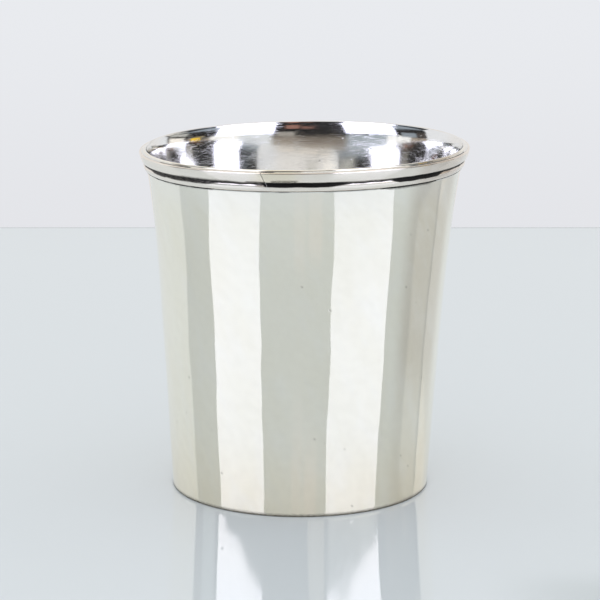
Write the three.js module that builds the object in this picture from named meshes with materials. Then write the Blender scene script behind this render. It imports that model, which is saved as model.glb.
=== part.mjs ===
// A small silver beaker: a flared cup of rolled sheet, a let-in bottom and a moulded strip under the lip.
// The upright seam of the wall is at the back (+Y). The strip's slanting scarf joint is at the front left.
// Millimetres, +Z up, with the origin at the middle of the foot, on the surface that the beaker stands on.
import * as THREE from "three";

// Wall: one sheet, straight at the foot and turned out towards the lip.
const beakerHeight = 85.5;
const footRadius = 31.7;
const taperGain = 5.37; // what the straight taper adds to the radius between foot and lip
const flareGain = 2.26; // what the turned-out lip adds to it
const flarePower = 5.6; // how late the lip begins to turn out
const wallThickness = 0.7;
const innerConeFoot = 60; // from here up the inner face is a straight cone
const innerConeSlope = 0.108;
const innerLipSlope = 0.27; // the cone ends in a bend, over which the inner face turns out more
const footEdgeRadius = 0.22;
const seamLap = 2.4; // how far the bevelled edges of the sheet lap, along the girth
const seamSolderThickness = 0.2;

// Bottom: a disc that wedges in the taper, a little above the foot edge.
const baseThickness = 0.8;
const baseRecess = 1.4;
const baseDome = 0.6;
const baseFillet = 0.9;

// Strip under the lip, from the top down: a crowned band, a narrow groove and a half-round bead.
const lipStand = 0.55; // how far the lip stands above the strip
const bandHeight = 2.25;
const bandProjection = 1.12;
const bandTaper = 0.22; // how much thinner the band is at its lower edge
const bandCrown = 0.07;
const bandTopRadius = 0.35;
const bandEdgeRadius = 0.2;
const grooveHeight = 0.35;
const grooveWeb = 0.35; // metal left behind the groove
const beadHeight = 1.95;
const beadProjection = 0.65;
const beadEdge = 0.12; // thickness of the bead's feathered lower edge
const upperSolderLeg = 0.45;
const lowerSolderLeg = 0.4;
const scarfSolderThickness = 0.2;

// Every soldered seat keeps this clearance.
const seatClearance = 0.1;

// Places and slants round the axis, counted from +X towards +Y.
const seamAngle = THREE.MathUtils.degToRad(90);
const scarfAngle = THREE.MathUtils.degToRad(-103.4);
const scarfSlant = THREE.MathUtils.degToRad(22);

// How finely the round forms are divided.
const girthSteps = 96;
const wallSteps = 9;
const roundSteps = 6;
const domeSteps = 4;
const edgeSteps = 2;
const filletSteps = 2;
const stationCrowding = 1.4; // over 1 brings the wall's stations together towards the lip

const silver = { color: 0xdedbd2, roughness: 0.16, metalness: 1 };
const innerSilver = { color: 0xd2cfc8, roughness: 0.22, metalness: 1 };
const solderSilver = { color: 0xc4c1b6, roughness: 0.34, metalness: 1 };

const stripTop = beakerHeight - lipStand;
const bandFoot = stripTop - bandHeight;
const beadTop = bandFoot - grooveHeight;
const stripFoot = beadTop - beadHeight;

function wallOuterRadius(height) {
  const heightShare = height / beakerHeight;
  return footRadius + taperGain * heightShare + flareGain * heightShare ** flarePower;
}

const innerConeRadius = wallOuterRadius(innerConeFoot) - wallThickness;
const innerLipRadius = wallOuterRadius(beakerHeight) - wallThickness;
const innerBendRise =
  (innerLipRadius - innerConeRadius - innerLipSlope * (beakerHeight - innerConeFoot)) /
  (innerConeSlope - innerLipSlope);

// One sheet in from the outer face, then up the cone, then out past the bend.
function wallInnerRadius(height) {
  const rise = height - innerConeFoot;
  if (rise < 0) return wallOuterRadius(height) - wallThickness;
  if (rise < innerBendRise) return innerConeRadius + innerConeSlope * rise;
  return innerLipRadius - innerLipSlope * (beakerHeight - height);
}

// A point of an outline: x is the distance from the axis and y the height.
function ringPoint(radius, height) {
  return new THREE.Vector2(radius, height);
}

// Points on a quarter or half of an ellipse, from one angle to another, both included.
function arcPoints(centre, halfWidth, halfHeight, fromDegrees, toDegrees, steps) {
  const points = [];
  for (let step = 0; step <= steps; step += 1) {
    const angle = THREE.MathUtils.degToRad(fromDegrees + ((toDegrees - fromDegrees) * step) / steps);
    points.push(ringPoint(centre.x + halfWidth * Math.cos(angle), centre.y + halfHeight * Math.sin(angle)));
  }
  return points;
}

// Heights between two levels, closer together towards the upper one.
function stationsBetween(low, high, steps, crowding) {
  const heights = [];
  for (let step = 0; step <= steps; step += 1) {
    heights.push(low + (high - low) * (1 - (1 - step / steps) ** crowding));
  }
  return heights;
}

// A whole ring or disc, turned from an outline that runs anticlockwise.
function turnedRing(outline) {
  const isOnAxis = outline[0].x === 0;
  const profile = isOnAxis ? outline : [...outline, outline[0]];
  return new THREE.LatheGeometry(profile, girthSteps).rotateX(Math.PI / 2);
}

// A closed outline that runs anticlockwise, carried round the axis from one end face to the other.
// Each end face is a function that gives every point its angle, so that an end can be cut on the slant.
function ringBetween(outline, startAngleOf, endAngleOf, steps) {
  const positions = [];
  for (let step = 0; step <= steps; step += 1) {
    for (const point of outline) {
      const start = startAngleOf(point);
      const angle = start + ((endAngleOf(point) - start) * step) / steps;
      positions.push(point.x * Math.cos(angle), point.x * Math.sin(angle), point.y);
    }
  }
  const count = outline.length;
  const indices = [];
  for (let step = 0; step < steps; step += 1) {
    for (let corner = 0; corner < count; corner += 1) {
      const here = step * count + corner;
      const above = step * count + ((corner + 1) % count);
      indices.push(here, here + count, above + count, here, above + count, above);
    }
  }
  const lastRow = steps * count;
  for (const [a, b, c] of THREE.ShapeUtils.triangulateShape(outline, [])) {
    indices.push(a, b, c, lastRow + a, lastRow + c, lastRow + b);
  }
  const geometry = new THREE.BufferGeometry();
  geometry.setAttribute("position", new THREE.Float32BufferAttribute(positions, 3));
  geometry.setIndex(indices);
  geometry.computeVertexNormals();
  return geometry;
}

// The ring that runs all the way round between a joint's two faces, and the solder that fills the joint.
function splitRing(outline, jointAngleOf, halfGapOf) {
  return ringBetween(
    outline,
    (point) => jointAngleOf(point) + halfGapOf(point),
    (point) => jointAngleOf(point) - halfGapOf(point) + 2 * Math.PI,
    girthSteps,
  );
}

function jointSlice(outline, jointAngleOf, halfWidthOf) {
  return ringBetween(
    outline,
    (point) => jointAngleOf(point) - halfWidthOf(point),
    (point) => jointAngleOf(point) + halfWidthOf(point),
    1,
  );
}

// The wall's section: foot flat, foot edge, outer face, rounded lip and inner face.
function wallOutline() {
  const lipRadius = wallThickness / 2;
  const lipLevel = beakerHeight - lipRadius;
  const lipCentre = ringPoint(wallOuterRadius(lipLevel) - lipRadius, lipLevel);
  const outerEdgeCentre = ringPoint(wallOuterRadius(footEdgeRadius) - footEdgeRadius, footEdgeRadius);
  const innerEdgeCentre = ringPoint(wallInnerRadius(footEdgeRadius) + footEdgeRadius, footEdgeRadius);
  const heights = stationsBetween(footEdgeRadius, lipLevel, wallSteps, stationCrowding).slice(1, -1);
  const curvedHeights = heights.filter((height) => height < innerConeFoot).reverse();
  const innerHeights = [innerConeFoot + innerBendRise, innerConeFoot, ...curvedHeights];
  return [
    ...arcPoints(outerEdgeCentre, footEdgeRadius, footEdgeRadius, -90, 0, edgeSteps),
    ...heights.map((height) => ringPoint(wallOuterRadius(height), height)),
    ...arcPoints(lipCentre, lipRadius, lipRadius, 0, 180, roundSteps),
    ...innerHeights.map((height) => ringPoint(wallInnerRadius(height), height)),
    ...arcPoints(innerEdgeCentre, footEdgeRadius, footEdgeRadius, 180, 270, edgeSteps),
  ];
}

// The lap seam slants from the inner face to the outer one, so its angle follows the depth in the wall.
function seamAngleAt(point) {
  const outerRadius = wallOuterRadius(point.y);
  const depthShare = (outerRadius - point.x) / (outerRadius - wallInnerRadius(point.y)) - 0.5;
  return seamAngle + (depthShare * seamLap) / point.x;
}

// Half of a width measured square to the lap, as an angle round the axis.
function seamHalfAngle(width) {
  const lapSine = wallThickness / Math.hypot(wallThickness, seamLap);
  return (point) => width / 2 / lapSine / point.x;
}

function bodyWall() {
  const slotWidth = seamSolderThickness + 2 * seatClearance;
  return splitRing(wallOutline(), seamAngleAt, seamHalfAngle(slotWidth));
}

function wallSeamSolder() {
  return jointSlice(wallOutline(), seamAngleAt, seamHalfAngle(seamSolderThickness));
}

// The disc's bevelled edge follows the taper, and its middle rises a little.
function domeRise(radius) {
  const edge = wallInnerRadius(baseRecess);
  return baseDome * (1 - (radius / edge) ** 2);
}

function baseDisc() {
  const lowerEdge = wallInnerRadius(baseRecess) - seatClearance;
  const upperEdge = wallInnerRadius(baseRecess + baseThickness) - seatClearance;
  const under = [];
  const upper = [];
  for (let step = 0; step <= domeSteps; step += 1) {
    const share = step / domeSteps;
    under.push(ringPoint(lowerEdge * share, baseRecess + domeRise(lowerEdge * share)));
    upper.push(ringPoint(upperEdge * share, baseRecess + baseThickness + domeRise(upperEdge * share)));
  }
  return turnedRing([...under, ...upper.reverse()]);
}

// A fillet in the corner between the disc and the wall, hollow on its open side.
function baseSolder() {
  const domeLevel = domeRise(wallInnerRadius(baseRecess) - baseFillet);
  const floorLevel = baseRecess + baseThickness + domeLevel + seatClearance;
  const corner = ringPoint(wallInnerRadius(floorLevel) - seatClearance, floorLevel);
  const top = ringPoint(wallInnerRadius(floorLevel + baseFillet) - seatClearance, floorLevel + baseFillet);
  const hollowCentre = ringPoint(top.x - baseFillet, top.y);
  return turnedRing([corner, ...arcPoints(hollowCentre, baseFillet, baseFillet, 0, -90, filletSteps)]);
}

// The strip's section stands on the wall's own outer face, which leans and curves behind it.
function stripPoint(projection, height) {
  return ringPoint(wallOuterRadius(height) + seatClearance + projection, height);
}

// The bead: half an ellipse on the wall, from its feathered lower edge up to the metal of the groove.
function beadPoints() {
  const fromAngle = -Math.acos(beadEdge / beadProjection);
  const toAngle = Math.acos(grooveWeb / beadProjection);
  const wholeRise = Math.sin(toAngle) - Math.sin(fromAngle);
  const points = [];
  for (let step = 0; step <= roundSteps; step += 1) {
    const angle = fromAngle + ((toAngle - fromAngle) * step) / roundSteps;
    const riseShare = (Math.sin(angle) - Math.sin(fromAngle)) / wholeRise;
    points.push(ringPoint(beadProjection * Math.cos(angle), stripFoot + beadHeight * riseShare));
  }
  return points;
}

// The band: a face that runs with the wall behind it, crowned a little, between two rounded edges.
function bandPoints() {
  const lowerProjection = bandProjection - bandTaper;
  const lowerEdge = ringPoint(lowerProjection - bandEdgeRadius, bandFoot + bandEdgeRadius);
  const upperEdge = ringPoint(bandProjection - bandTopRadius, stripTop - bandTopRadius);
  const crown = (lowerProjection + bandProjection) / 2 + bandCrown;
  return [
    ringPoint(grooveWeb, bandFoot),
    ...arcPoints(lowerEdge, bandEdgeRadius, bandEdgeRadius, -90, 0, edgeSteps),
    ringPoint(crown, bandFoot + bandHeight / 2),
    ...arcPoints(upperEdge, bandTopRadius, bandTopRadius, 0, 90, edgeSteps),
  ];
}

function stripOutline() {
  const face = [...beadPoints(), ...bandPoints()];
  const backHeights = [stripTop, bandFoot + bandHeight / 2, bandFoot, stripFoot + beadHeight / 2, stripFoot];
  const back = backHeights.map((height) => ringPoint(0, height));
  return [...face, ...back].map((point) => stripPoint(point.x, point.y));
}

// The scarf joint slants across the face of the strip: its upper end lies further left.
function scarfAngleAt(point) {
  const middle = (stripTop + stripFoot) / 2;
  return scarfAngle - ((point.y - middle) * Math.tan(scarfSlant)) / point.x;
}

function scarfHalfAngle(width) {
  return (point) => width / 2 / Math.cos(scarfSlant) / point.x;
}

function rimMoulding() {
  const slotWidth = scarfSolderThickness + 2 * seatClearance;
  return splitRing(stripOutline(), scarfAngleAt, scarfHalfAngle(slotWidth));
}

function rimJointSolder() {
  return jointSlice(stripOutline(), scarfAngleAt, scarfHalfAngle(scarfSolderThickness));
}

// The upper run lies in the notch between the strip's feathered edge and the rounding of the lip.
function rimUpperSolder() {
  const level = stripTop + seatClearance;
  const inner = wallOuterRadius(level) + seatClearance;
  return turnedRing([
    ringPoint(inner, level),
    ringPoint(inner + upperSolderLeg, level),
    ringPoint(inner, level + upperSolderLeg / 2),
  ]);
}

// The lower run is a hollow fillet under the bead, against the wall.
function rimLowerSolder() {
  const level = stripFoot - seatClearance;
  const foot = level - lowerSolderLeg;
  const corner = ringPoint(wallOuterRadius(level) + seatClearance, level);
  const toe = ringPoint(wallOuterRadius(foot) + seatClearance, foot);
  const hollowCentre = ringPoint(toe.x + lowerSolderLeg, toe.y);
  const hollow = arcPoints(hollowCentre, lowerSolderLeg, lowerSolderLeg, 180, 90, filletSteps);
  return turnedRing([corner, ...hollow]);
}

function addPiece(group, name, geometry, look) {
  const piece = new THREE.Mesh(geometry, new THREE.MeshStandardMaterial(look));
  piece.name = name;
  group.add(piece);
}

const beaker = new THREE.Group();
addPiece(beaker, "body_wall", bodyWall(), silver);
addPiece(beaker, "base_disc", baseDisc(), innerSilver);
addPiece(beaker, "rim_moulding", rimMoulding(), silver);
addPiece(beaker, "wall_seam_solder", wallSeamSolder(), solderSilver);
addPiece(beaker, "base_solder", baseSolder(), solderSilver);
addPiece(beaker, "rim_upper_solder", rimUpperSolder(), solderSilver);
addPiece(beaker, "rim_lower_solder", rimLowerSolder(), solderSilver);
addPiece(beaker, "rim_joint_solder", rimJointSolder(), solderSilver);

export default beaker;
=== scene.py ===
# The looks of the silver beaker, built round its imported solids, in a small studio.
# Metres, with +Z up. The camera looks along +Y, so the side at -Y is the one that the photograph shows.
import math
from collections import namedtuple

import bmesh
import bpy
import numpy as np
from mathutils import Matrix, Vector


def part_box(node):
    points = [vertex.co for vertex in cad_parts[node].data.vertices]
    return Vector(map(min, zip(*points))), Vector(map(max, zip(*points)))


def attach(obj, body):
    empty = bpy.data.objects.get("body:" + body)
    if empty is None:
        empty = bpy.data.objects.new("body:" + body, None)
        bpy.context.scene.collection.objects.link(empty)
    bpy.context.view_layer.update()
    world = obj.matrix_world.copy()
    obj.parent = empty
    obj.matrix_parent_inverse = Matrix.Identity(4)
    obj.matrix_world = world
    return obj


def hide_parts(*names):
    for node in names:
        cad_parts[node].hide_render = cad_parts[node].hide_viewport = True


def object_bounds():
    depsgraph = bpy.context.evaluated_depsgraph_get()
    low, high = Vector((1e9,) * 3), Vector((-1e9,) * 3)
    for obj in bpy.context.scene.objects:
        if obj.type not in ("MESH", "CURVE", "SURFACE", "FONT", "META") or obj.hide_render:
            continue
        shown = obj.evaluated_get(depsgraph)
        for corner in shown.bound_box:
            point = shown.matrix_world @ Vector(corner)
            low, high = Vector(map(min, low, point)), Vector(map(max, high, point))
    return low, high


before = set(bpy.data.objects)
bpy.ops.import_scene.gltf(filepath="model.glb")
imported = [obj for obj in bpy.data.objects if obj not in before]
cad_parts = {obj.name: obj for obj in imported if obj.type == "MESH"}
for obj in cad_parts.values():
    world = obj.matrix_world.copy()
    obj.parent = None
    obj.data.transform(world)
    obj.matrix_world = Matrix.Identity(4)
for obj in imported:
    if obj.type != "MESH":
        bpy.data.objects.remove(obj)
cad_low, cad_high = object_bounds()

MM = 0.001  # a millimetre, in metres

# The wall's sheet, with the same form as its solid.
beaker_height = cad_high.z
foot_radius = 31.7 * MM
taper_gain = 5.37 * MM
flare_gain = 2.26 * MM
flare_power = 5.6
sheet_thickness = 0.7 * MM
foot_edge_radius = 0.22 * MM
seam_lap = 2.4 * MM
seam_solder_thickness = 0.2 * MM
seam_angle = math.radians(90)

# The bottom, a disc with a shallow dome.
bottom_thickness = 0.8 * MM
bottom_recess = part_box("base_disc")[0].z
bottom_dome = 0.6 * MM
bottom_fillet = 0.9 * MM
bottom_rim_radius = 0.15 * MM

# The strip under the lip: a crowned band, a narrow groove and a half-round bead.
lip_stand = 0.55 * MM
band_height = 2.38 * MM
band_projection = 1.09 * MM
band_taper = 0.22 * MM
band_crown = 0.07 * MM
band_top_radius = 0.35 * MM
band_edge_radius = 0.2 * MM
groove_height = 0.35 * MM
groove_web = 0.3 * MM
bead_height = 1.95 * MM
bead_projection = 0.65 * MM
bead_edge = 0.1 * MM
upper_solder_leg = 0.55 * MM
upper_solder_shares = [(1, 0), (0.7, 0.12), (0.35, 0.26), (0, 0.42)]  # out and up, as shares of the leg
lower_solder_leg = 0.4 * MM
scarf_solder_thickness = 0.12 * MM
scarf_angle = math.radians(-103.4)
scarf_slant = math.radians(22)
seat_gap = 0.02 * MM  # what is left between two pieces that are soldered together

# The inner face is a straight cone over its upper part, and the lip is turned out more and more.
inner_cone_foot = 70 * MM
inner_cone_slope = 0.122
inner_lip_slope = 0.44  # at the very edge
inner_lip_turn = 12.0  # half of what the slope loses for each metre under the edge
inner_lip_reach = 5 * MM
inner_bend_softness = 0.26 * MM

# How far the hand-made cup is out of true.
foot_shift = 1.1 * MM  # the foot stands this far to the left of the lip's centre
foot_shift_power = 1.3
lip_drop = 0.5 * MM  # the mean of the lip lies this much under its highest point
lip_tilt = math.radians(0.72)
lip_wave = 0.1 * MM  # each of three waves that lift the lip at the front

# How finely the pieces are divided, round the axis and along their outlines.
wall_columns = 384
strip_columns = 576
bottom_columns = 256
joint_columns = 2
wall_lower_rows = 72
wall_upper_rows = 36
wall_upper_foot = 74 * MM  # above this level the rows lie closer together
foot_edge_steps = 4
lip_steps = 11
bead_points = 15
band_points = 9
band_edge_steps = 5
band_top_steps = 7
bottom_rings = 40
bottom_rim_steps = 2
fillet_steps = 6

strip_top = beaker_height - lip_stand
band_foot = strip_top - band_height
bead_top = band_foot - groove_height
strip_foot = bead_top - bead_height


def wall_outer_radius(level):
    share = level / beaker_height
    return foot_radius + taper_gain * share + flare_gain * share ** flare_power


def wall_inner_radius(level):
    """One sheet in from the outer face, then up a straight cone, then out to the lip past a soft bend."""
    sheet = wall_outer_radius(level) - sheet_thickness
    cone_base = wall_outer_radius(inner_cone_foot) - sheet_thickness
    cone = cone_base + inner_cone_slope * (level - inner_cone_foot)
    lip_edge = wall_outer_radius(beaker_height) - sheet_thickness
    depth = beaker_height - level
    lip = lip_edge - inner_lip_slope * depth + inner_lip_turn * np.minimum(depth, inner_lip_reach) ** 2
    body = np.where(level < inner_cone_foot, sheet, cone)
    return (body + lip + np.hypot(body - lip, inner_bend_softness)) / 2


# Outlines: rows of (distance from the axis, level) that run anticlockwise.
def arc(centre_radius, centre_level, size, from_degrees, to_degrees, steps):
    turns = np.radians(np.linspace(from_degrees, to_degrees, steps + 1))
    return np.column_stack([centre_radius + size * np.cos(turns), centre_level + size * np.sin(turns)])


def wall_outline():
    lip_radius = sheet_thickness / 2
    lip_level = beaker_height - lip_radius
    lip_centre = wall_outer_radius(lip_level) - lip_radius
    outer_edge = wall_outer_radius(foot_edge_radius) - foot_edge_radius
    inner_edge = wall_inner_radius(foot_edge_radius) + foot_edge_radius
    lower_levels = np.linspace(foot_edge_radius, wall_upper_foot, wall_lower_rows + 1)[1:]
    upper_levels = np.linspace(wall_upper_foot, lip_level, wall_upper_rows + 1)[1:-1]
    levels = np.concatenate([lower_levels, upper_levels])
    return np.concatenate([
        arc(outer_edge, foot_edge_radius, foot_edge_radius, -90, 0, foot_edge_steps),
        np.column_stack([wall_outer_radius(levels), levels]),
        arc(lip_centre, lip_level, lip_radius, 0, 180, lip_steps),
        np.column_stack([wall_inner_radius(levels), levels])[::-1],
        arc(inner_edge, foot_edge_radius, foot_edge_radius, 180, 270, foot_edge_steps),
    ])


def bead_outline():
    from_angle = -math.acos(bead_edge / bead_projection)
    to_angle = math.acos(groove_web / bead_projection)
    turns = np.linspace(from_angle, to_angle, bead_points)
    rise_share = (np.sin(turns) - math.sin(from_angle)) / (math.sin(to_angle) - math.sin(from_angle))
    return np.column_stack([bead_projection * np.cos(turns), strip_foot + bead_height * rise_share])


def band_outline():
    edge = band_edge_radius
    top_edge = band_top_radius
    lower = band_projection - band_taper
    face_share = np.linspace(0, 1, band_points)[1:-1]
    face_levels = band_foot + edge + (band_height - edge - top_edge) * face_share
    face = lower + band_taper * face_share + band_crown * np.sin(math.pi * face_share)
    return np.concatenate([
        [(groove_web, band_foot)],
        arc(lower - edge, band_foot + edge, edge, -90, 0, band_edge_steps),
        np.column_stack([face, face_levels]),
        arc(band_projection - top_edge, strip_top - top_edge, top_edge, 0, 90, band_top_steps),
    ])


def strip_outline():
    face = np.concatenate([bead_outline(), band_outline()])
    back = np.column_stack([np.zeros(len(face)), face[:, 1]])[::-1]
    outline = np.concatenate([face, back])
    outline[:, 0] += wall_outer_radius(outline[:, 1]) + seat_gap
    return outline


def dome_rise(radius):
    return bottom_dome * (1 - (radius / wall_inner_radius(bottom_recess)) ** 2)


def bottom_outline():
    """From the middle out along the underside, round the rim, and back in along the upper side."""
    edge = bottom_rim_radius
    rim_degrees = 60
    ring_shares = np.linspace(0, 1, bottom_rings)
    upper_level = bottom_recess + bottom_thickness
    lower_edge = wall_inner_radius(bottom_recess) - seat_gap
    upper_edge = wall_inner_radius(upper_level) - seat_gap
    under = ring_shares * (lower_edge - edge)
    upper = ring_shares[::-1] * (upper_edge - edge)
    return np.concatenate([
        np.column_stack([under, bottom_recess + dome_rise(under)]),
        arc(lower_edge - edge, bottom_recess + edge, edge, -rim_degrees, 0, bottom_rim_steps),
        arc(upper_edge - edge, upper_level - edge, edge, 0, rim_degrees, bottom_rim_steps),
        np.column_stack([upper, upper_level + dome_rise(upper)]),
    ])


def bottom_solder_outline():
    floor_level = bottom_recess + bottom_thickness + seat_gap
    corner = (wall_inner_radius(floor_level) - seat_gap, floor_level)
    top_level = floor_level + bottom_fillet
    hollow = wall_inner_radius(top_level) - seat_gap - bottom_fillet
    return np.concatenate([[corner], arc(hollow, top_level, bottom_fillet, 0, -90, fillet_steps)])


def upper_solder_outline():
    seat = strip_top + seat_gap
    corner = (wall_outer_radius(seat) - seat_gap, seat)
    return np.concatenate([[corner], np.array(corner) + upper_solder_leg * np.array(upper_solder_shares)])


def lower_solder_outline():
    foot_level = strip_foot - lower_solder_leg
    corner = (wall_outer_radius(strip_foot) - seat_gap, strip_foot)
    hollow = wall_outer_radius(foot_level) + lower_solder_leg
    return np.concatenate([[corner], arc(hollow, foot_level, lower_solder_leg, 180, 90, fillet_steps)])


# Joints. Each gives the middle and half the width of its solder, as angles, at a point of the piece.
def lap_seam(radius, level):
    outer_radius = wall_outer_radius(level)
    depth_share = (outer_radius - radius) / (outer_radius - wall_inner_radius(level)) - 0.5
    lap_sine = sheet_thickness / math.hypot(sheet_thickness, seam_lap)
    return seam_angle + depth_share * seam_lap / radius, seam_solder_thickness / 2 / lap_sine / radius


def scarf_joint(radius, level):
    middle_level = (strip_top + strip_foot) / 2
    middle = scarf_angle - (level - middle_level) * math.tan(scarf_slant) / radius
    return middle, scarf_solder_thickness / 2 / math.cos(scarf_slant) / radius


# Hand work: soft waves in the sheet, and the lean of the whole cup.
def wave_field(seed, count, girth_waves, height_waves):
    """Smooth random waves round the cup, as a function of angle and level, with a mean square of one."""
    random = np.random.default_rng(seed)
    girth_counts = random.integers(*girth_waves, count)
    height_counts = random.uniform(*height_waves, count)
    phases = random.uniform(0, 2 * math.pi, count)

    def field(angle, level):
        turn = 2 * math.pi * level / beaker_height
        waves = [np.cos(g * angle + h * turn + p) for g, h, p in zip(girth_counts, height_counts, phases)]
        return sum(waves) / math.sqrt(count / 2)

    return field


planishing = wave_field(seed=11, count=48, girth_waves=(7, 20), height_waves=(-2.6, 2.6))
hammering = wave_field(seed=12, count=48, girth_waves=(20, 40), height_waves=(-8, 8))
strip_waves = wave_field(seed=13, count=24, girth_waves=(5, 40), height_waves=(-1, 1))
planishing_depth = 0.016 * MM
hammering_depth = 0.0018 * MM
strip_wave_depth = 0.012 * MM


def smooth_step(value, low, high):
    share = np.clip((value - low) / (high - low), 0, 1)
    return share * share * (3 - 2 * share)


def free_sheet(level):
    """How much is left of the sheet's waves: nothing at the foot edge, and little behind the strip."""
    foot_reach = 4 * MM
    held_from = 70 * MM
    held_to = 80 * MM
    held_share = 0.8
    return smooth_step(level, 0, foot_reach) * (1 - held_share * smooth_step(level, held_from, held_to))


def sheet_waves(angle, level):
    waves = planishing_depth * planishing(angle, level) + hammering_depth * hammering(angle, level)
    return waves * free_sheet(level)


def out_of_true(radius, angle, level):
    share = level / beaker_height
    x = radius * np.cos(angle) + foot_shift * (share ** foot_shift_power - 1)
    y = radius * np.sin(angle)
    from_front = angle + math.pi / 2
    wave = lip_wave * (np.cos(from_front) + np.cos(2 * from_front) + np.cos(3 * from_front))
    z = level + (math.tan(lip_tilt) * x - lip_drop + wave) * share ** 2
    return np.stack([x, y, z], axis=-1)


def follow_sheet(radius, angle, level):
    return radius + sheet_waves(angle, level), level


def follow_strip(radius, angle, level):
    projection = radius - wall_outer_radius(level)
    own = strip_wave_depth * strip_waves(angle, level) * np.clip(projection / band_projection, 0, 1)
    return radius + sheet_waves(angle, level) + own, level


def sunk_solder(radius, angle, level):
    """The run over the strip, half as high where it has shrunk."""
    sunk_share = 0.5
    rise = np.clip(level - strip_top, 0, None)
    return radius + sheet_waves(angle, level), level - sunk_share * rise * strongest(angle, open_seams)


# Meshes.
def grid_faces(column_count, point_count, is_split):
    columns = np.arange(column_count)[:, None]
    points = np.arange(point_count)[None, :]
    next_columns = columns + 1 if is_split else (columns + 1) % column_count
    next_points = (points + 1) % point_count
    corners = [
        columns * point_count + points,
        next_columns * point_count + points,
        next_columns * point_count + next_points,
        columns * point_count + next_points,
    ]
    return np.stack(corners, axis=-1).reshape(-1, 4)


def cap_faces(column_count, point_count):
    """The two end faces of a split ring, each a ladder of quads between the two halves of the outline."""
    rungs = np.arange(point_count // 2 - 1)
    ladder = np.stack([rungs, rungs + 1, point_count - 2 - rungs, point_count - 1 - rungs], axis=-1)
    return np.concatenate([ladder, ladder[:, ::-1] + column_count * point_count])


def column_angles(radius, level, columns, joint, is_filler):
    """The angles of a ring's points: all the way round, or from face to face of a joint, or across it."""
    if joint is None:
        return seam_angle + 2 * math.pi * np.arange(columns)[:, None] / columns + 0 * radius
    middle, half_angle = joint(radius, level)
    start = middle - half_angle if is_filler else middle + half_angle
    end = middle + half_angle if is_filler else middle - half_angle + 2 * math.pi
    share = np.linspace(0, 1, columns + 1)[:, None]
    return start * (1 - share) + end * share


def outline_length(outline):
    """How far each point lies along its outline, from the first point on."""
    steps = np.hypot(*np.diff(outline, axis=0).T)
    return np.concatenate([[0], np.cumsum(steps)])


def sheet_place(outline, radius, angle, level, is_disc):
    """Where each point lies on its piece's face, for the marks of wear: flat on a disc, else unrolled."""
    if is_disc:
        return np.stack([radius * np.cos(angle), radius * np.sin(angle), level], axis=-1) / MM
    across = np.broadcast_to(outline_length(outline)[None, :], angle.shape)
    return np.stack([radius * angle, across, 0 * angle], axis=-1) / MM


def ring_object(name, outline, columns, joint=None, is_filler=False, is_disc=False, shape=None, grime_and_shade=None):
    """A closed outline carried round the axis, all the way, or split by a joint, or filling that joint."""
    radius = outline[:, 0][None, :]
    level = outline[:, 1][None, :]
    angle = column_angles(radius, level, columns, joint, is_filler)
    radius = radius + 0 * angle
    level = level + 0 * angle
    shaped_radius, shaped_level = shape(radius, angle, level) if shape else (radius, level)
    points = out_of_true(shaped_radius, angle, shaped_level).reshape(-1, 3)
    faces = grid_faces(columns, len(outline), is_split=bool(joint))
    if joint:
        faces = np.concatenate([faces, cap_faces(columns, len(outline))])
    mesh = bpy.data.meshes.new(name)
    mesh.from_pydata(points.tolist(), [], faces.tolist())
    place = sheet_place(outline, radius, angle, level, is_disc)
    # The mesh's grime share holds painted shade and painted reflection as well as grime.
    dirt_and_shade = grime_and_shade(radius, angle, level) if grime_and_shade else 0 * angle
    add_attribute(mesh, "sheet", "FLOAT_VECTOR", "vector", place)
    add_attribute(mesh, "grime_and_shade", "FLOAT", "value", dirt_and_shade)
    add_attribute(mesh, "film", "FLOAT_VECTOR", "vector", warm_film_and_shade(angle, level))
    shade_between_edges(mesh, len(outline) if joint else 0)
    return link_object(name, mesh)


def add_attribute(mesh, name, kind, field, values):
    attribute = mesh.attributes.new(name, kind, "POINT")
    attribute.data.foreach_set(field, np.ascontiguousarray(values, dtype=np.float32).ravel())


def shade_between_edges(mesh, end_size):
    """Smooth shading between real edges. A split ring's first and last points belong to its end faces."""
    sharp_degrees = 38
    mesh.shade_smooth()
    mesh.set_sharp_from_angle(angle=math.radians(sharp_degrees))
    last_end = len(mesh.vertices) - end_size
    for edge in mesh.edges:
        if max(edge.vertices) < end_size or min(edge.vertices) >= last_end:
            edge.use_edge_sharp = True


def link_object(name, mesh):
    piece = bpy.data.objects.new(name, mesh)
    bpy.context.scene.collection.objects.link(piece)
    return piece


def join_axis_points(piece):
    """A disc's columns all meet in its middle, where their points become one."""
    same_place = 0.0005 * MM
    form = bmesh.new()
    form.from_mesh(piece.data)
    bmesh.ops.remove_doubles(form, verts=form.verts, dist=same_place)
    form.to_mesh(piece.data)
    form.free()


def paint_inner_faces(piece, is_inner):
    """Gives the second material to the faces whose corners all come from inner points of the outline."""
    count = len(is_inner)
    for face in piece.data.polygons:
        face.material_index = int(all(is_inner[vertex % count] for vertex in face.vertices))


def dress(piece, node, slot, *materials):
    for material in materials:
        piece.data.materials.append(material)
    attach(piece, "root")
    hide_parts(node)


# Shader nodes.
def add_node(tree, kind, inputs=None, **settings):
    node = tree.nodes.new(kind)
    for name, value in settings.items():
        setattr(node, name, value)
    for name, value in (inputs or {}).items():
        if isinstance(value, bpy.types.NodeSocket):
            tree.links.new(value, node.inputs[name])
        else:
            node.inputs[name].default_value = value
    return node


def calculate(tree, operation, *values):
    inputs = dict(enumerate(values))
    return add_node(tree, "ShaderNodeMath", inputs, operation=operation).outputs[0]


def remap(tree, value, source, target=(0, 1)):
    """A value carried smoothly from one range to another, and held at the ends."""
    inputs = {"Value": value, "From Min": source[0], "From Max": source[1]}
    inputs.update({"To Min": target[0], "To Max": target[1]})
    return add_node(tree, "ShaderNodeMapRange", inputs, interpolation_type="SMOOTHSTEP").outputs["Result"]


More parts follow.
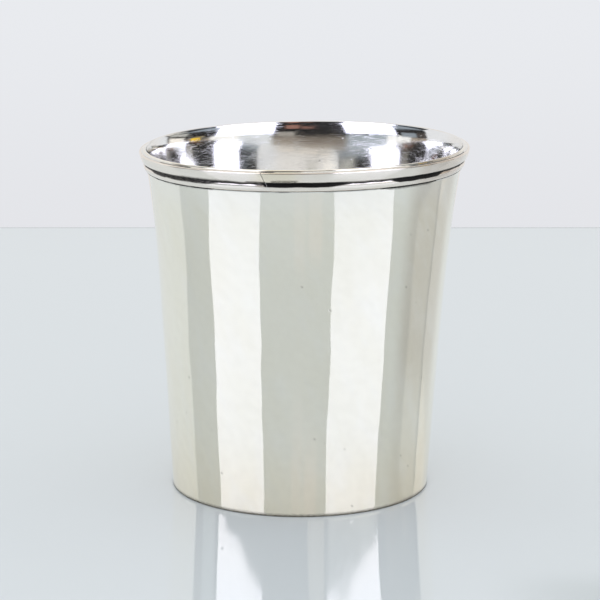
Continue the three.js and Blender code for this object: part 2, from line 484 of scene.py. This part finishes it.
def blend_colours(tree, share, first, second, blend_type="MIX"):
    inputs = {0: share, 6: first, 7: second}
    return add_node(tree, "ShaderNodeMix", inputs, data_type="RGBA", blend_type=blend_type).outputs[2]


def noise(tree, place, scale, detail=2.0, roughness=0.5):
    inputs = {"Vector": place, "Scale": scale, "Detail": detail, "Roughness": roughness}
    return add_node(tree, "ShaderNodeTexNoise", inputs).outputs["Fac"]


def grain(tree, place, turn, along, across, detail=3.0, roughness=0.5):
    """A noise with grains this long and this wide, in millimetres, turned by so many degrees."""
    inputs = {"Vector": place, "Rotation": (0, 0, math.radians(turn)), "Scale": (1 / along, 1 / across, 1)}
    stretched = add_node(tree, "ShaderNodeMapping", inputs).outputs["Vector"]
    return noise(tree, stretched, 1.0, detail, roughness)


def scratches(tree, place, turns, along, across, amount):
    """Fine straight scratches in a few directions, more in some places than in others: one where one is."""
    line_range = (0.72 - amount, 0.78 - amount)
    total = None
    for turn in turns:
        lines = remap(tree, grain(tree, place, turn, along, across, detail=1.0), line_range)
        patch = remap(tree, grain(tree, place, turn, along=9, across=6, detail=2.0), (0.45, 0.65))
        layer = calculate(tree, "MULTIPLY", lines, patch)
        total = calculate(tree, "MAXIMUM", total, layer) if total else layer
    return total


def pits(tree, place, spacing, share):
    """Small round pits, seldom where the share is small: one in the middle of a pit."""
    inputs = {"Vector": place, "Scale": 1 / spacing, "Randomness": 1.0}
    cells = add_node(tree, "ShaderNodeTexVoronoi", inputs)
    near = remap(tree, cells.outputs["Distance"], (0.06, 0.22), (1, 0))
    chosen = add_node(tree, "ShaderNodeSeparateColor", {"Color": cells.outputs["Color"]}).outputs[0]
    return calculate(tree, "MULTIPLY", near, calculate(tree, "LESS_THAN", chosen, share))


def raised(tree, height, depth, normal=None):
    inputs = {"Height": height, "Distance": depth, "Strength": 1.0}
    if normal:
        inputs["Normal"] = normal
    return add_node(tree, "ShaderNodeBump", inputs).outputs["Normal"]


def sunk(tree, marks, depth, normal=None):
    return raised(tree, calculate(tree, "SUBTRACT", 1.0, marks), depth, normal)


def added(tree, value, marks, amount):
    """A value that is larger by an amount where the marks are."""
    return calculate(tree, "ADD", value, calculate(tree, "MULTIPLY", marks, amount))


def named_attribute(tree, name, output):
    return add_node(tree, "ShaderNodeAttribute", attribute_name=name).outputs[output]


def new_material(name):
    material = bpy.data.materials.new(name)
    material.use_nodes = True
    material.node_tree.nodes.clear()
    return material, material.node_tree


def finish_metal(tree, colour, roughness, normal, dirt_and_shade, haze):
    """Metal with a pale haze of fine wear, and dull black where the share of grime and painted shade says.
    """
    # Painted shade is laid on in the same dull black as grime.
    grime_and_shade_colour = (0.010, 0.0095, 0.008, 1)
    grime_and_shade_dulling = 0.2
    grime_and_shade_roughness = 0.5
    mirror = calculate(tree, "SUBTRACT", 1.0, haze)
    dulling = calculate(tree, "MULTIPLY", dirt_and_shade, grime_and_shade_dulling)
    coating = calculate(tree, "MULTIPLY", dirt_and_shade, grime_and_shade_roughness)
    inputs = {
        "Base Color": blend_colours(tree, dirt_and_shade, colour, grime_and_shade_colour),
        "Metallic": calculate(tree, "SUBTRACT", mirror, dulling),
        "Roughness": calculate(tree, "MAXIMUM", roughness, coating),
        "Normal": normal,
    }
    shader = add_node(tree, "ShaderNodeBsdfPrincipled", inputs)
    add_node(tree, "ShaderNodeOutputMaterial", {"Surface": shader.outputs["BSDF"]})


def grime_and_shade_share(tree, place, dots, in_pits):
    """The grime and painted shade written on the mesh, with a ragged edge, and the grime settled in the
    pits.
    """
    raggedness = 0.6
    written = named_attribute(tree, "grime_and_shade", "Fac")
    ragged = grain(tree, place, turn=0, along=0.9, across=0.3, roughness=0.6)
    mixed = calculate(tree, "MULTIPLY_ADD", calculate(tree, "SUBTRACT", ragged, 0.5), raggedness, written)
    settled = calculate(tree, "MULTIPLY", dots, in_pits)
    return calculate(tree, "MAXIMUM", remap(tree, mixed, (0.12, 0.95)), settled)


def tarnished(tree, place, clean, warm):
    """Silver with a patchy warm film, less what the mesh says that tarnish and painted reflection take from
    its colour.
    """
    film = grain(tree, place, turn=4, along=10, across=34)
    colour = blend_colours(tree, remap(tree, film, (0.35, 0.7)), clean, warm)
    patches = grain(tree, place, turn=-8, along=5, across=11)
    patchy = remap(tree, patches, (0.25, 0.7), (0.8, 1.15))
    # The film holds tarnish and painted reflection.
    taken = named_attribute(tree, "film", "Vector")
    inputs = {0: taken, 1: (-1, -1, -1), 2: (1, 1, 1)}
    left = add_node(tree, "ShaderNodeVectorMath", inputs, operation="MULTIPLY_ADD").outputs[0]
    return blend_colours(tree, patchy, colour, left, blend_type="MULTIPLY")


def outside_silver():
    clean = (0.985, 0.965, 0.925, 1)
    warm = (0.965, 0.94, 0.885, 1)
    scratch_depth = 0.001 * MM
    pit_depth = 0.01 * MM
    material, tree = new_material("silver_outside")
    place = named_attribute(tree, "sheet", "Vector")
    colour = tarnished(tree, place, clean, warm)
    lines = scratches(tree, place, turns=(4, 38, -27, 81), along=9, across=0.09, amount=0)
    dots = pits(tree, place, spacing=2.2, share=0.045)
    cloud = noise(tree, place, scale=0.35)
    roughness = added(tree, remap(tree, cloud, (0.3, 0.75), (0.02, 0.05)), lines, amount=0.10)
    normal = sunk(tree, dots, pit_depth, sunk(tree, lines, scratch_depth))
    dirt_and_shade = grime_and_shade_share(tree, place, dots, in_pits=0.3)
    haze = remap(tree, cloud, (0.3, 0.75), (0.03, 0.07))
    finish_metal(tree, colour, roughness, normal, dirt_and_shade, haze)
    return material


def inside_silver():
    clean = (0.95, 0.94, 0.915, 1)
    hazy = (0.905, 0.90, 0.885, 1)
    speckle_depth = 0.0014 * MM
    scratch_depth = 0.002 * MM
    pit_depth = 0.01 * MM
    worn_haze = 0.06
    material, tree = new_material("silver_inside")
    place = named_attribute(tree, "sheet", "Vector")
    film = grain(tree, place, turn=-20, along=14, across=9)
    colour = blend_colours(tree, remap(tree, film, (0.35, 0.7)), clean, hazy)
    lines = scratches(tree, place, turns=(8, 50, -35, 95, -62), along=4, across=0.10, amount=0.09)
    dots = pits(tree, place, spacing=1.3, share=0.12)
    cloud = noise(tree, place, scale=0.5, detail=3.0)
    speckle = remap(tree, noise(tree, place, scale=3.2, detail=3.0, roughness=0.65), (0.45, 0.7))
    roughness = added(tree, remap(tree, cloud, (0.35, 0.7), (0.02, 0.06)), lines, amount=0.14)
    normal = sunk(tree, lines, scratch_depth, raised(tree, speckle, speckle_depth))
    normal = sunk(tree, dots, pit_depth, normal)
    dirt_and_shade = grime_and_shade_share(tree, place, dots, in_pits=0.25)
    worn = calculate(tree, "MAXIMUM", speckle, lines)
    clouded = remap(tree, cloud, (0.3, 0.7), (0.004, 0.018))
    haze = calculate(tree, "MULTIPLY_ADD", worn, worn_haze, clouded)
    finish_metal(tree, colour, roughness, normal, dirt_and_shade, haze)
    return material


def strip_silver():
    clean = (0.97, 0.915, 0.88, 1)
    warm = (0.93, 0.875, 0.835, 1)
    scratch_depth = 0.0015 * MM
    pit_depth = 0.015 * MM
    material, tree = new_material("silver_strip")
    place = named_attribute(tree, "sheet", "Vector")
    film = grain(tree, place, turn=0, along=18, across=4)
    colour = tarnished(tree, place, clean, warm)
    lines = scratches(tree, place, turns=(0, 3, -5, 62), along=7, across=0.08, amount=0.03)
    dots = pits(tree, place, spacing=1.1, share=0.05)
    roughness = added(tree, remap(tree, film, (0.3, 0.75), (0.07, 0.14)), lines, amount=0.10)
    normal = sunk(tree, dots, pit_depth, sunk(tree, lines, scratch_depth))
    dirt_and_shade = grime_and_shade_share(tree, place, dots, in_pits=0.4)
    haze = remap(tree, film, (0.3, 0.7), (0.05, 0.11))
    finish_metal(tree, colour, roughness, normal, dirt_and_shade, haze)
    return material


def solder_metal():
    bright = (0.93, 0.925, 0.90, 1)
    dull = (0.87, 0.86, 0.82, 1)
    lump_depth = 0.004 * MM
    pit_depth = 0.015 * MM
    material, tree = new_material("solder")
    place = named_attribute(tree, "sheet", "Vector")
    film = noise(tree, place, scale=0.4, detail=3.0)
    colour = blend_colours(tree, film, bright, dull)
    dots = pits(tree, place, spacing=0.9, share=0.2)
    roughness = remap(tree, film, (0.3, 0.7), (0.08, 0.16))
    normal = raised(tree, noise(tree, place, scale=1.6, detail=3.0), lump_depth)
    normal = sunk(tree, dots, pit_depth, normal)
    dirt_and_shade = grime_and_shade_share(tree, place, dots, in_pits=0.4)
    haze = remap(tree, film, (0.3, 0.7), (0.03, 0.08))
    finish_metal(tree, colour, roughness, normal, dirt_and_shade, haze)
    return material


# Where grime, painted shade and film sit on the girth. A reach goes from one angle to another, in degrees
# from the front with the right side positive, and fades away outside them over some degrees more.
Reach = namedtuple("Reach", "start end fade strength")
# The groove's painted shade and painted reflection are deepest in these stretches.
groove_left = Reach(-62, -37, 8, 1)
groove_front = Reach(-14, 7, 11, 1)
groove_right = Reach(35, 52, 5, 1)
groove_front_edge = (-14.5, -13)  # where the joint cuts off the grime at the front
groove_fuzz = Reach(-46, -28, 7, 1)
# A dark patch at the foot of the band, just left of the front.
band_dark_patch = Reach(-10.5, -3, 2, 0.6)
joint_pits = Reach(-19.5, -13.6, 1.5, 0.65)
# Grime and painted shade under the bead and under the strip.
under_bead = [Reach(30, 52, 5, 1), Reach(-66, -36, 6, 0.7), Reach(8, 26, 4, 0.4)]
under_bead_unshaded = Reach(-2, 28, 4, 1)
under_strip = [Reach(32, 50, 4, 0.6), Reach(-56, -38, 5, 0.3)]
# A painted reflection of dimmer floor, at the right.
right_painted_shade = Reach(47, 66, 9, 1)
film_joint = Reach(-13, -6, 7, 1)

# Where the solder over the strip has shrunk and left a dark open seam.
open_seams = [
    Reach(-59, -43, 1.5, 1),
    Reach(-14.2, -11, 1.5, 1),
    Reach(-11, -1.5, 1, 0.5),
    Reach(39, 74, 1.5, 0.85),
    Reach(118, 150, 1.5, 1),
]

grime_and_shade_waves = wave_field(seed=21, count=30, girth_waves=(6, 60), height_waves=(-2, 2))


def degrees_from_front(angle):
    turned = np.degrees(angle) + 90
    return (turned + 180) % 360 - 180


def stretch(angle, reach):
    """The reach's strength between its two angles, falling off to nought over its fade outside them."""
    place = degrees_from_front(angle)
    rise = smooth_step(place, reach.start - reach.fade, reach.start)
    return reach.strength * (rise * (1 - smooth_step(place, reach.end, reach.end + reach.fade)))


def strongest(angle, reaches):
    return np.maximum.reduce([stretch(angle, reach) for reach in reaches])


def between(level, low, high, fade):
    """One between two levels, falling off to nought over the fade outside them."""
    return smooth_step(level, low - fade, low) * (1 - smooth_step(level, high, high + fade))


def strip_grime_and_shade(radius, angle, level):
    """Painted shade, black in the groove and deepest in three stretches, where it also comes down the bead
    as a painted reflection of the dark room; with a dark patch, grime in the pits at the joint and a foot
    line.
    """
    fade = 0.3 * MM
    wave_depth = 0.03 * MM
    fuzz_height = 0.5 * MM
    bead_reach = 0.15 * MM  # how far the painted shade comes down on the bead
    deep_bead_reach = 0.5 * MM  # how much further it comes down where it is deep
    dark_patch_height = 0.5 * MM
    pitted_height = 0.2 * MM
    foot_height = 0.25 * MM
    thin_strength = 0.85
    deep_gain = 0.3  # for the deep stretches, but not for the one at the left
    foot_strength = 0.15
    waves = wave_depth * grime_and_shade_waves(angle, level)
    left = stretch(angle, groove_left)
    front = smooth_step(degrees_from_front(angle), *groove_front_edge) * stretch(angle, groove_front)
    deep = np.maximum.reduce([left, front, stretch(angle, groove_right)])
    top_fade = fade + fuzz_height * stretch(angle, groove_fuzz)
    low_edge = bead_top - bead_reach - deep_bead_reach * deep
    below_top = 1 - smooth_step(level - band_foot + waves, -fade, top_fade)
    above_low_edge = smooth_step(level + waves, low_edge - fade, low_edge)
    # The groove's black is painted shade, and the deep stretches that reach down the bead paint a
    # reflection of the dark room.
    groove = (thin_strength + deep_gain * (deep - left)) * below_top * above_low_edge
    # A dark patch low on the band.
    dark_patch = stretch(angle, band_dark_patch) * between(level, band_foot, band_foot + dark_patch_height, fade)
    pitted = stretch(angle, joint_pits) * between(level, bead_top, band_foot + pitted_height, fade)
    foot = foot_strength * (1 - smooth_step(level, strip_foot, strip_foot + foot_height))
    return np.maximum.reduce([groove, dark_patch, pitted, foot])


def under_bead_grime_and_shade(radius, angle, level):
    """A dark line under the bead, of grime and painted shade: heavy at the right, moderate at the left and
    none from the front a little way to the right.
    """
    thin_strength = 0.36
    thin = thin_strength * (1 - stretch(angle, under_bead_unshaded))
    return np.maximum(strongest(angle, under_bead), thin) * (1.1 + 0.12 * grime_and_shade_waves(angle, level))


def upper_solder_grime(radius, angle, level):
    """Dirt in the open seam, on the outer part of the run."""
    outward_share = (radius - wall_outer_radius(level)) / upper_solder_leg
    return strongest(angle, open_seams) * smooth_step(outward_share, 0.25, 0.7)


def joint_grime(radius, angle, level):
    """The scarf joint shows as a dark line on the band, and hardly on the bead."""
    fade = 0.2 * MM
    return 0.1 + 0.7 * smooth_step(level, bead_top - fade, band_foot)


def wall_grime_and_shade(radius, angle, level):
    """The wall is clean, apart from darkening inside just over the bottom, grime and painted shade under
    the strip, and a painted contact shadow with grime at the foot edge.
    """
    corner_height = 3 * MM
    line_foot = strip_foot - 0.9 * MM
    line_full = strip_foot - 0.45 * MM
    line_top = strip_foot + 0.5 * MM
    foot_full = 0.2 * MM
    foot_top = 0.5 * MM
    depth_share = (wall_outer_radius(level) - radius) / sheet_thickness
    is_inside = smooth_step(depth_share, 0.6, 0.9)
    corner_level = bottom_recess + bottom_thickness + bottom_fillet
    corner = 0.5 * is_inside * (1 - smooth_step(level, corner_level, corner_level + corner_height))
    below_strip = smooth_step(level, line_foot, line_full) * (level < line_top)
    # Grime and painted shade under the strip.
    line = strongest(angle, under_strip) * (1 - is_inside) * below_strip
    # A painted contact shadow with grime along the foot edge.
    foot = 0.7 * (1 - smooth_step(level, foot_full, foot_top))
    return np.maximum.reduce([corner, line, foot])


def warm_film_and_shade(angle, level):
    """What tarnish and painted reflection take from the silver's red, green and blue. The warmth near the
    foot and the dark film at the right are painted reflections of dim floor.
    """
    thin_film_range = (72 * MM, 79 * MM)
    foot_shade_range = (4 * MM, 22 * MM)
    right_shade_range = (18 * MM, 42 * MM)
    wall = 1 - 0.3 * smooth_step(level, *thin_film_range)
    # Warmer towards the foot: a painted reflection of the shaded, warm floor by the foot.
    foot = 1 - smooth_step(level, *foot_shade_range)
    # Darker at the right: a painted reflection of dimmer floor on that side.
    right = stretch(angle, right_painted_shade) * (0.35 + 0.65 * smooth_step(level, *right_shade_range))
    beside_joint = stretch(angle, film_joint) * (level > band_foot)
    films = [
        (wall, (0.0, 0.024, 0.11)),
        (foot, (0.0, 0.03, 0.07)),
        (right, (0.19, 0.22, 0.22)),
        (beside_joint, (0.01, 0.03, 0.11)),
    ]
    return sum(share[..., None] * np.array(taken) for share, taken in films)


# Pieces.
def cup_wall():
    outline = wall_outline()
    piece = ring_object(
        "cup_wall", outline, wall_columns,
        joint=lap_seam, shape=follow_sheet, grime_and_shade=wall_grime_and_shade,
    )
    dress(piece, "body_wall", "silver", outside_silver(), inside_silver())
    middle_radius = wall_outer_radius(outline[:, 1]) - sheet_thickness / 2
    paint_inner_faces(piece, outline[:, 0] < middle_radius)


def wall_seam_solder():
    piece = ring_object(
        "wall_seam", wall_outline(), joint_columns,
        joint=lap_seam, is_filler=True, shape=follow_sheet,
    )
    dress(piece, "wall_seam_solder", "silver_solder", inside_silver())


def cup_bottom():
    piece = ring_object("cup_bottom", bottom_outline(), bottom_columns, is_disc=True)
    join_axis_points(piece)
    dress(piece, "base_disc", "silver", inside_silver())


def bottom_solder():
    piece = ring_object("bottom_solder", bottom_solder_outline(), bottom_columns, shape=follow_sheet)
    dress(piece, "base_solder", "silver_solder", solder_metal())


def rim_strip():
    piece = ring_object(
        "rim_strip", strip_outline(), strip_columns,
        joint=scarf_joint, shape=follow_strip, grime_and_shade=strip_grime_and_shade,
    )
    dress(piece, "rim_moulding", "silver", strip_silver())


def rim_joint_solder():
    piece = ring_object(
        "rim_joint", strip_outline(), joint_columns,
        joint=scarf_joint, is_filler=True, shape=follow_strip, grime_and_shade=joint_grime,
    )
    dress(piece, "rim_joint_solder", "silver_solder", solder_metal())


def rim_upper_solder():
    piece = ring_object(
        "rim_upper_run", upper_solder_outline(), strip_columns,
        shape=sunk_solder, grime_and_shade=upper_solder_grime,
    )
    dress(piece, "rim_upper_solder", "silver_solder", solder_metal())


def rim_lower_solder():
    piece = ring_object(
        "rim_lower_run", lower_solder_outline(), strip_columns,
        shape=follow_sheet, grime_and_shade=under_bead_grime_and_shade,
    )
    dress(piece, "rim_lower_solder", "silver_solder", solder_metal())


# Studio. Directions are degrees from the front, seen from the beaker, with the right side positive.
table_reach = 2.5
table_far_edge = 334 * MM
table_bevel_width = 2 * MM
table_bevel_lift = 0.01 * MM
table_colour = (0.735, 0.80, 0.84, 1)
table_bevel_colour = (0.60, 0.65, 0.68, 1)

box_distance = 1.8
box_foot_degrees = 12
box_edge_degrees = 25  # up to here a softbox grows brighter
box_top_degrees = 50
box_radiance = 2.65
box_foot_share = 0.8
box_colour = (0.97, 0.985, 1.21, 1)
box_folds = 12

# Heights in the studio are sines of elevations, and a range is where one colour gives way to the next.
ceiling_colour = (0.95, 0.95, 0.95, 1)
ceiling_range = (0.76, 0.83)
diffuse_radiance = 0.95
backdrop_low = (0.775, 0.783, 0.815, 1)
backdrop_high = (0.815, 0.830, 0.862, 1)
backdrop_range = (-0.20, -0.10)
backdrop_edge = 0.444  # the share of y from which on a level direction meets the backdrop
backdrop_edge_turn = 0.159  # what is added to it towards the right, as the backdrop stands askew
backdrop_edge_fade = 0.02

# A soft-edged patch of colour round one direction, with its half width in degrees too.
Patch = namedtuple("Patch", "colour from_front half_width height half_height")

# What stands about in the dim half, each laid over those before it.
dim_side_patches = [
    Patch((0.74, 0.77, 0.80), 48, 27, 0, 0.22),  # pale things low at the right
    Patch((0.40, 0.45, 0.49), -54, 24, 0, 0.17),  # grey things low at the left
    Patch((1.0, 1.0, 1.0), -78, 13, 0.04, 0.12),  # white beyond them
    Patch((1.0, 0.99, 0.97), 64, 15, 0.07, 0.11),  # white at the right
    Patch((0.36, 0.34, 0.31), 14, 8, 0.17, 0.06),  # a dim one right of the camera
    Patch((0.15, 0.14, 0.125), 91, 11, 0.07, 0.17),  # dark things at the right side
    Patch((0.27, 0.31, 0.35), -88, 9, 0.20, 0.10),  # a blue grey one at the left side
    Patch((0.07, 0.06, 0.055), -102, 7, 0.22, 0.08),  # a dark one beyond it
    Patch((1.0, 0.95, 0.88), 113, 11, 0.13, 0.10),  # warm light behind the right side
    Patch((0.50, 0.50, 0.47), 111, 13, 0.31, 0.06),  # grey over it
    Patch((1.0, 0.66, 0.07), 91, 5.5, 0.10, 0.07),  # a yellow thing at the right side
    Patch((0.34, 0.17, 0.13), 9, 6, 0.47, 0.09),  # two dull red ones high over the camera
    Patch((0.24, 0.12, 0.095), -3, 5, 0.44, 0.07),
]

# A glow and a dark spot low in the pale half.
pale_side_patches = [
    Patch((1.2, 1.15, 1.08), 136, 16, 0.325, 0.022),
    Patch((0.30, 0.29, 0.23), 166, 10, 0.328, 0.013),
]


def direction_from_front(degrees):
    turn = math.radians(degrees)
    return np.array([math.sin(turn), -math.cos(turn), 0])


def stage_object(name, points, faces, material):
    mesh = bpy.data.meshes.new(name)
    mesh.from_pydata(points, [], faces)
    mesh.materials.append(material)
    sheet = link_object(name, mesh)
    return sheet


def box_level(degrees):
    return box_distance * math.tan(math.radians(degrees))


def box_light():
    """The light of a softbox, dimmer towards its lower edge."""
    material, tree = new_material("box_light")
    place = add_node(tree, "ShaderNodeNewGeometry").outputs["Position"]
    level = add_node(tree, "ShaderNodeSeparateXYZ", {"Vector": place}).outputs[2]
    brightening = (box_level(box_foot_degrees), box_level(box_edge_degrees))
    strength = remap(tree, level, brightening, (box_foot_share * box_radiance, box_radiance))
    shader = add_node(tree, "ShaderNodeEmission", {"Color": box_colour, "Strength": strength})
    add_node(tree, "ShaderNodeOutputMaterial", {"Surface": shader.outputs["Emission"]})
    return material


def softbox(name, inner, outer):
    """A tall sheet of light. Each edge is given as degrees from the front and degrees up to its foot."""
    points = []
    for turn, foot in np.linspace(inner, outer, box_folds + 1):
        x, y, _ = direction_from_front(turn) * box_distance
        points += [(x, y, box_level(foot)), (x, y, box_level(box_top_degrees))]
    faces = [(2 * fold, 2 * fold + 2, 2 * fold + 3, 2 * fold + 1) for fold in range(box_folds)]
    sheet = stage_object(name, points, faces, box_light())
    sheet.visible_camera = False
    sheet.visible_diffuse = False


def table_glass(name, colour):
    material, tree = new_material(name)
    inputs = {"Base Color": colour, "Roughness": 0.04, "IOR": 1.5}
    shader = add_node(tree, "ShaderNodeBsdfPrincipled", inputs)
    add_node(tree, "ShaderNodeOutputMaterial", {"Surface": shader.outputs["BSDF"]})
    return material


def table_quad(name, near, far, level, colour):
    corners = [
        (-table_reach, near, level),
        (table_reach, near, level),
        (table_reach, far, level),
        (-table_reach, far, level),
    ]
    stage_object(name, corners, [(0, 1, 2, 3)], table_glass(name, colour))


def table():
    bevel_near = table_far_edge - table_bevel_width
    table_quad("table", -table_reach, table_far_edge, 0, table_colour)
    table_quad("table_edge", bevel_near, table_far_edge, table_bevel_lift, table_bevel_colour)


def paint(tree, room, parts, patches):
    """The room with each patch laid over what is there."""
    core_share = 0.7  # of a patch's half width and half height, within which its colour is full
    x_share, y_share, z = parts
    for patch in patches:
        turn = math.radians(patch.from_front)
        towards = calculate(tree, "MULTIPLY", x_share, math.sin(turn))
        towards = calculate(tree, "MULTIPLY_ADD", y_share, -math.cos(turn), towards)
        edge = math.cos(math.radians(patch.half_width))
        core_edge = math.cos(math.radians(core_share * patch.half_width))
        sideways = remap(tree, towards, (edge, core_edge))
        off_height = calculate(tree, "ABSOLUTE", calculate(tree, "SUBTRACT", z, patch.height))
        upright = remap(tree, off_height, (core_share * patch.half_height, patch.half_height), (1, 0))
        share = calculate(tree, "MULTIPLY", sideways, upright)
        room = blend_colours(tree, share, room, (*patch.colour, 1))
    return room


def dim_side(tree, parts):
    """The half round the camera: nearly black over a warm floor, with paler walls high up at the sides."""
    floor_colour = (0.42, 0.36, 0.30, 1)
    floor_range = (0.075, 0.135)
    room_colour = (0.018, 0.017, 0.017, 1)
    wall_colour = (0.30, 0.345, 0.40, 1)
    wall_side_range = (0.75, 0.9)
    wall_height_range = (0.36, 0.46)
    x_share, _, z = parts
    room = blend_colours(tree, remap(tree, z, floor_range), floor_colour, room_colour)
    to_side = remap(tree, calculate(tree, "ABSOLUTE", x_share), wall_side_range)
    upper_side = calculate(tree, "MULTIPLY", to_side, remap(tree, z, wall_height_range))
    room = blend_colours(tree, upper_side, room, wall_colour)
    return paint(tree, room, parts, dim_side_patches)


def pale_side(tree, parts, backdrop):
    """The half with the backdrop, which is warmer straight behind, and most of all higher up."""
    warm_colour = (0.80, 0.74, 0.67, 1)
    warm_side_range = (0.6, 0.85)
    warm_height_range = (0.45, 0.55)
    lower_warmth = 0.35
    _, y_share, z = parts
    behind = remap(tree, y_share, warm_side_range)
    warm = calculate(tree, "MULTIPLY", behind, remap(tree, z, warm_height_range, (lower_warmth, 1)))
    return paint(tree, blend_colours(tree, warm, backdrop, warm_colour), parts, pale_side_patches)


def direction_parts(tree):
    """A ray's direction: the shares of x and y in its level part, and the sine of its elevation."""
    direction = add_node(tree, "ShaderNodeTexCoord").outputs["Generated"]
    x, y, z = add_node(tree, "ShaderNodeSeparateXYZ", {"Vector": direction}).outputs
    across = calculate(tree, "SQRT", calculate(tree, "SUBTRACT", 1.0, calculate(tree, "MULTIPLY", z, z)))
    return calculate(tree, "DIVIDE", x, across), calculate(tree, "DIVIDE", y, across), z


def mirrored_studio(tree, parts, backdrop):
    """What the metal mirrors: the dim half, the pale half and the ceiling."""
    x_share, y_share, z = parts
    edge = calculate(tree, "MULTIPLY_ADD", x_share, backdrop_edge_turn, backdrop_edge)
    past_edge = calculate(tree, "SUBTRACT", y_share, edge)
    behind = remap(tree, past_edge, (-backdrop_edge_fade, backdrop_edge_fade))
    halves = blend_colours(tree, behind, dim_side(tree, parts), pale_side(tree, parts, backdrop))
    return blend_colours(tree, remap(tree, z, ceiling_range), halves, ceiling_colour)


def studio_world():
    """The camera sees the backdrop, metal and glass see the studio, and diffuse light is even."""
    world = bpy.data.worlds.new("studio")
    bpy.context.scene.world = world
    world.use_nodes = True
    tree = world.node_tree
    tree.nodes.clear()
    parts = direction_parts(tree)
    backdrop = blend_colours(tree, remap(tree, parts[2], backdrop_range), backdrop_low, backdrop_high)
    mirrored = mirrored_studio(tree, parts, backdrop)
    rays = add_node(tree, "ShaderNodeLightPath")
    soft = (diffuse_radiance, diffuse_radiance, diffuse_radiance, 1)
    colour = blend_colours(tree, rays.outputs["Is Glossy Ray"], soft, mirrored)
    colour = blend_colours(tree, rays.outputs["Is Transmission Ray"], colour, mirrored)
    colour = blend_colours(tree, rays.outputs["Is Camera Ray"], colour, backdrop)
    shader = add_node(tree, "ShaderNodeBackground", {"Color": colour, "Strength": 1.0})
    add_node(tree, "ShaderNodeOutputWorld", {"Surface": shader.outputs["Background"]})


# The camera stands in front of the foot and looks down on the beaker, as the photograph's perspective says.
camera_distance = 633.5 * MM
camera_level = 186.7 * MM
camera_fall_degrees = 12.51
camera_sensor_width = 36  # in millimetres, as is the lens
camera_lens = 157.7


def photograph_camera():
    camera_data = bpy.data.cameras.new("camera")
    camera_data.sensor_width = camera_sensor_width
    camera_data.lens = camera_lens
    camera = bpy.data.objects.new("camera", camera_data)
    camera.location = (-foot_shift, -camera_distance, camera_level)
    camera.rotation_euler = (math.radians(90 - camera_fall_degrees), 0, 0)
    bpy.context.scene.collection.objects.link(camera)
    bpy.context.scene.camera = camera


cup_wall()
wall_seam_solder()
cup_bottom()
bottom_solder()
rim_strip()
rim_joint_solder()
rim_upper_solder()
rim_lower_solder()

table()
softbox("left_softbox", inner=(-33, 12.4), outer=(-76, 11.9))
softbox("right_softbox", inner=(23, 12), outer=(72, 11.3))
studio_world()
photograph_camera()
bpy.context.scene.view_settings.view_transform = "Standard"
